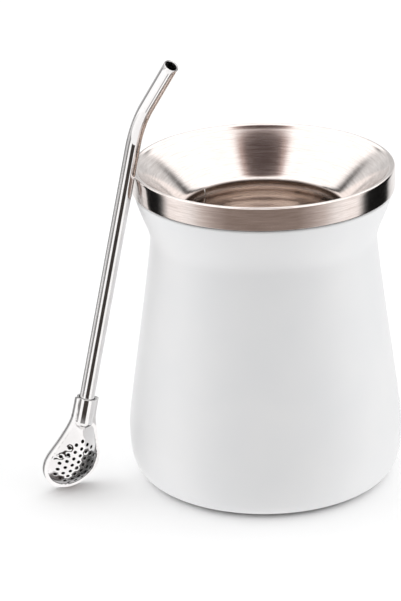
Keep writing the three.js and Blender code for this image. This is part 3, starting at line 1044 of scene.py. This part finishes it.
def panels(tree, x, y, turn, height):
    """What brushed steel mirrors: low panels with dark gaps, and a bright ceiling with one dark gap."""
    behind = ranged(tree, turn, *BACKDROP_TURN, high=BACKDROP_DIMMING)
    raised = ranged(tree, height, *map(radians, BACKDROP_RISE_DEG))
    backdrop = maths(tree, "SUBTRACT", 1.0, maths(tree, "MULTIPLY", behind, raised))
    low = scaled(tree, ramp(tree, turn, LOW_PANELS), backdrop)
    across_gap = maths(tree, "DIVIDE", x, GAP_HALF_WIDTH)
    along_gap = maths(tree, "DIVIDE", maths(tree, "ADD", y, GAP_FORWARD), GAP_HALF_LENGTH)
    from_gap = maths(tree, "MULTIPLY", length_of(tree, across_gap, along_gap), 0.5)
    ceiling = ramp(tree, from_gap, CEILING_PANELS)
    overhead = ranged(tree, height, *map(radians, CEILING_DEG))
    return blend(tree, overhead, low, ceiling)


def bars(tree, direction, x, front):
    """What the polished bombilla mirrors: bars of its own, as if it were lit and photographed apart."""
    turn = whole_turn(tree, x, front)
    level = reach_along(tree, direction, lean_direction())
    off_level = maths(tree, "ABSOLUTE", maths(tree, "SUBTRACT", level, TUBE_LEVEL))
    off_tube = ranged(tree, off_level, *TUBE_LEVEL_REACH)
    light = blend(tree, off_tube, ramp(tree, turn, TUBE_BARS), ramp(tree, turn, SPOON_BARS))
    light = blend(tree, ranged(tree, level, *DARK_BELOW_LEVEL), light, DARK_BELOW)
    light = blend(tree, ranged(tree, level, *BRIGHT_ABOVE_LEVEL), light, BRIGHT_ABOVE)
    bend = radians(TUBE_BEND_DEG)
    mouth_up = lean_direction() * cos(bend) + front_direction() * sin(bend)
    mouth_right = Vector((0, 1, 0)).cross(mouth_up).normalized()
    mouth_front = mouth_right.cross(mouth_up)
    along, right, facing = [
        reach_along(tree, direction, axis) for axis in (mouth_up, mouth_right, mouth_front)]
    off_level = maths(tree, "ABSOLUTE", maths(tree, "SUBTRACT", along, MOUTHPIECE_LEVEL))
    on_mouthpiece = ranged(tree, off_level, *MOUTHPIECE_LEVEL_REACH)
    mouthpiece_light = ramp(tree, whole_turn(tree, right, facing), MOUTHPIECE_BARS)
    return blend(tree, on_mouthpiece, light, mouthpiece_light)


def soft_light(tree, turn, height):
    """What lights the matt surfaces: soft sides and ceiling, and the glow of the lit floor below."""
    above = ranged(tree, height, *map(radians, CEILING_LIGHT_DEG))
    sides = blend(tree, above, ramp(tree, turn, SIDE_LIGHT), CEILING_LIGHT)
    sides = scaled(tree, sides, ranged(tree, height, 0.0, radians(LOW_LIGHT_DEG), low=LOW_LIGHT_SHARE))
    from_straight_down = maths(tree, "MULTIPLY_ADD", height, 2 / pi, 1.0)
    glow = vector_maths(tree, "MULTIPLY", ramp(tree, from_straight_down, FLOOR_GLOW),
                        ramp(tree, turn, GLOW_BY_SIDE))
    below = ranged(tree, height, radians(HORIZON_DEG), radians(-HORIZON_DEG))
    return blend(tree, below, sides, glow)


def studio_sky():
    """A white background, soft light all round, and for reflections bright panels with dark gaps."""
    world = bpy.data.worlds.new("studio")
    bpy.context.scene.world = world
    world.use_nodes = True
    tree = world.node_tree
    tree.nodes.clear()
    direction = tree.nodes.new("ShaderNodeTexCoord").outputs["Generated"]
    x, y, z = split(tree, direction)
    front = maths(tree, "MULTIPLY", y, -1.0)
    turn = maths(tree, "DIVIDE", maths(tree, "ARCTAN2", maths(tree, "ABSOLUTE", x), front), pi)
    height = maths(tree, "ARCSINE", z)
    path = tree.nodes.new("ShaderNodeLightPath").outputs
    mirrored = blend(tree, path["Is Singular Ray"],
                     panels(tree, x, y, turn, height), bars(tree, direction, x, front))
    lit = blend(tree, path["Is Glossy Ray"], soft_light(tree, turn, height), mirrored)
    seen = blend(tree, path["Is Camera Ray"], lit, BACKGROUND_WHITE)
    background = add(tree, "ShaderNodeBackground", {"Color": seen, "Strength": 1.0})
    tree.links.new(background.outputs[0], tree.nodes.new("ShaderNodeOutputWorld").inputs["Surface"])


def photo_camera():
    """The photograph's viewing angle, aimed at the middle of its frame."""
    tilt, roll = radians(CAMERA_ELEVATION_DEG), radians(CAMERA_ROLL_DEG)
    forward = Vector((0, cos(tilt), -sin(tilt)))
    up = Vector((0, sin(tilt), cos(tilt)))
    right = Vector((cos(roll), 0, 0)) - up * sin(roll)
    down = Vector((-sin(roll), 0, 0)) - up * cos(roll)
    aim = forward * FOCAL_PIXELS
    aim += right * (PHOTO_WIDTH / 2 - RIM_PIXEL[0]) + down * (PHOTO_HEIGHT / 2 - RIM_PIXEL[1])
    aim.normalize()
    right = (right - aim * right.dot(aim)).normalized()
    turn = Matrix((right, right.cross(aim), -aim)).transposed().to_4x4()
    lens = bpy.data.cameras.new("camera")
    lens.sensor_width = SENSOR
    lens.lens = FOCAL_PIXELS * SENSOR / PHOTO_HEIGHT
    lens.clip_start, lens.clip_end = CLIP_METRES
    camera = in_scene("camera", lens)
    rim_centre = Vector((0, 0, CUP_HEIGHT))
    camera.matrix_world = Matrix.Translation((rim_centre - forward * CAMERA_DISTANCE) * MM) @ turn
    bpy.context.scene.camera = camera


pale_floor()
studio_sky()
photo_camera()
bpy.context.scene.view_settings.view_transform = "Standard"
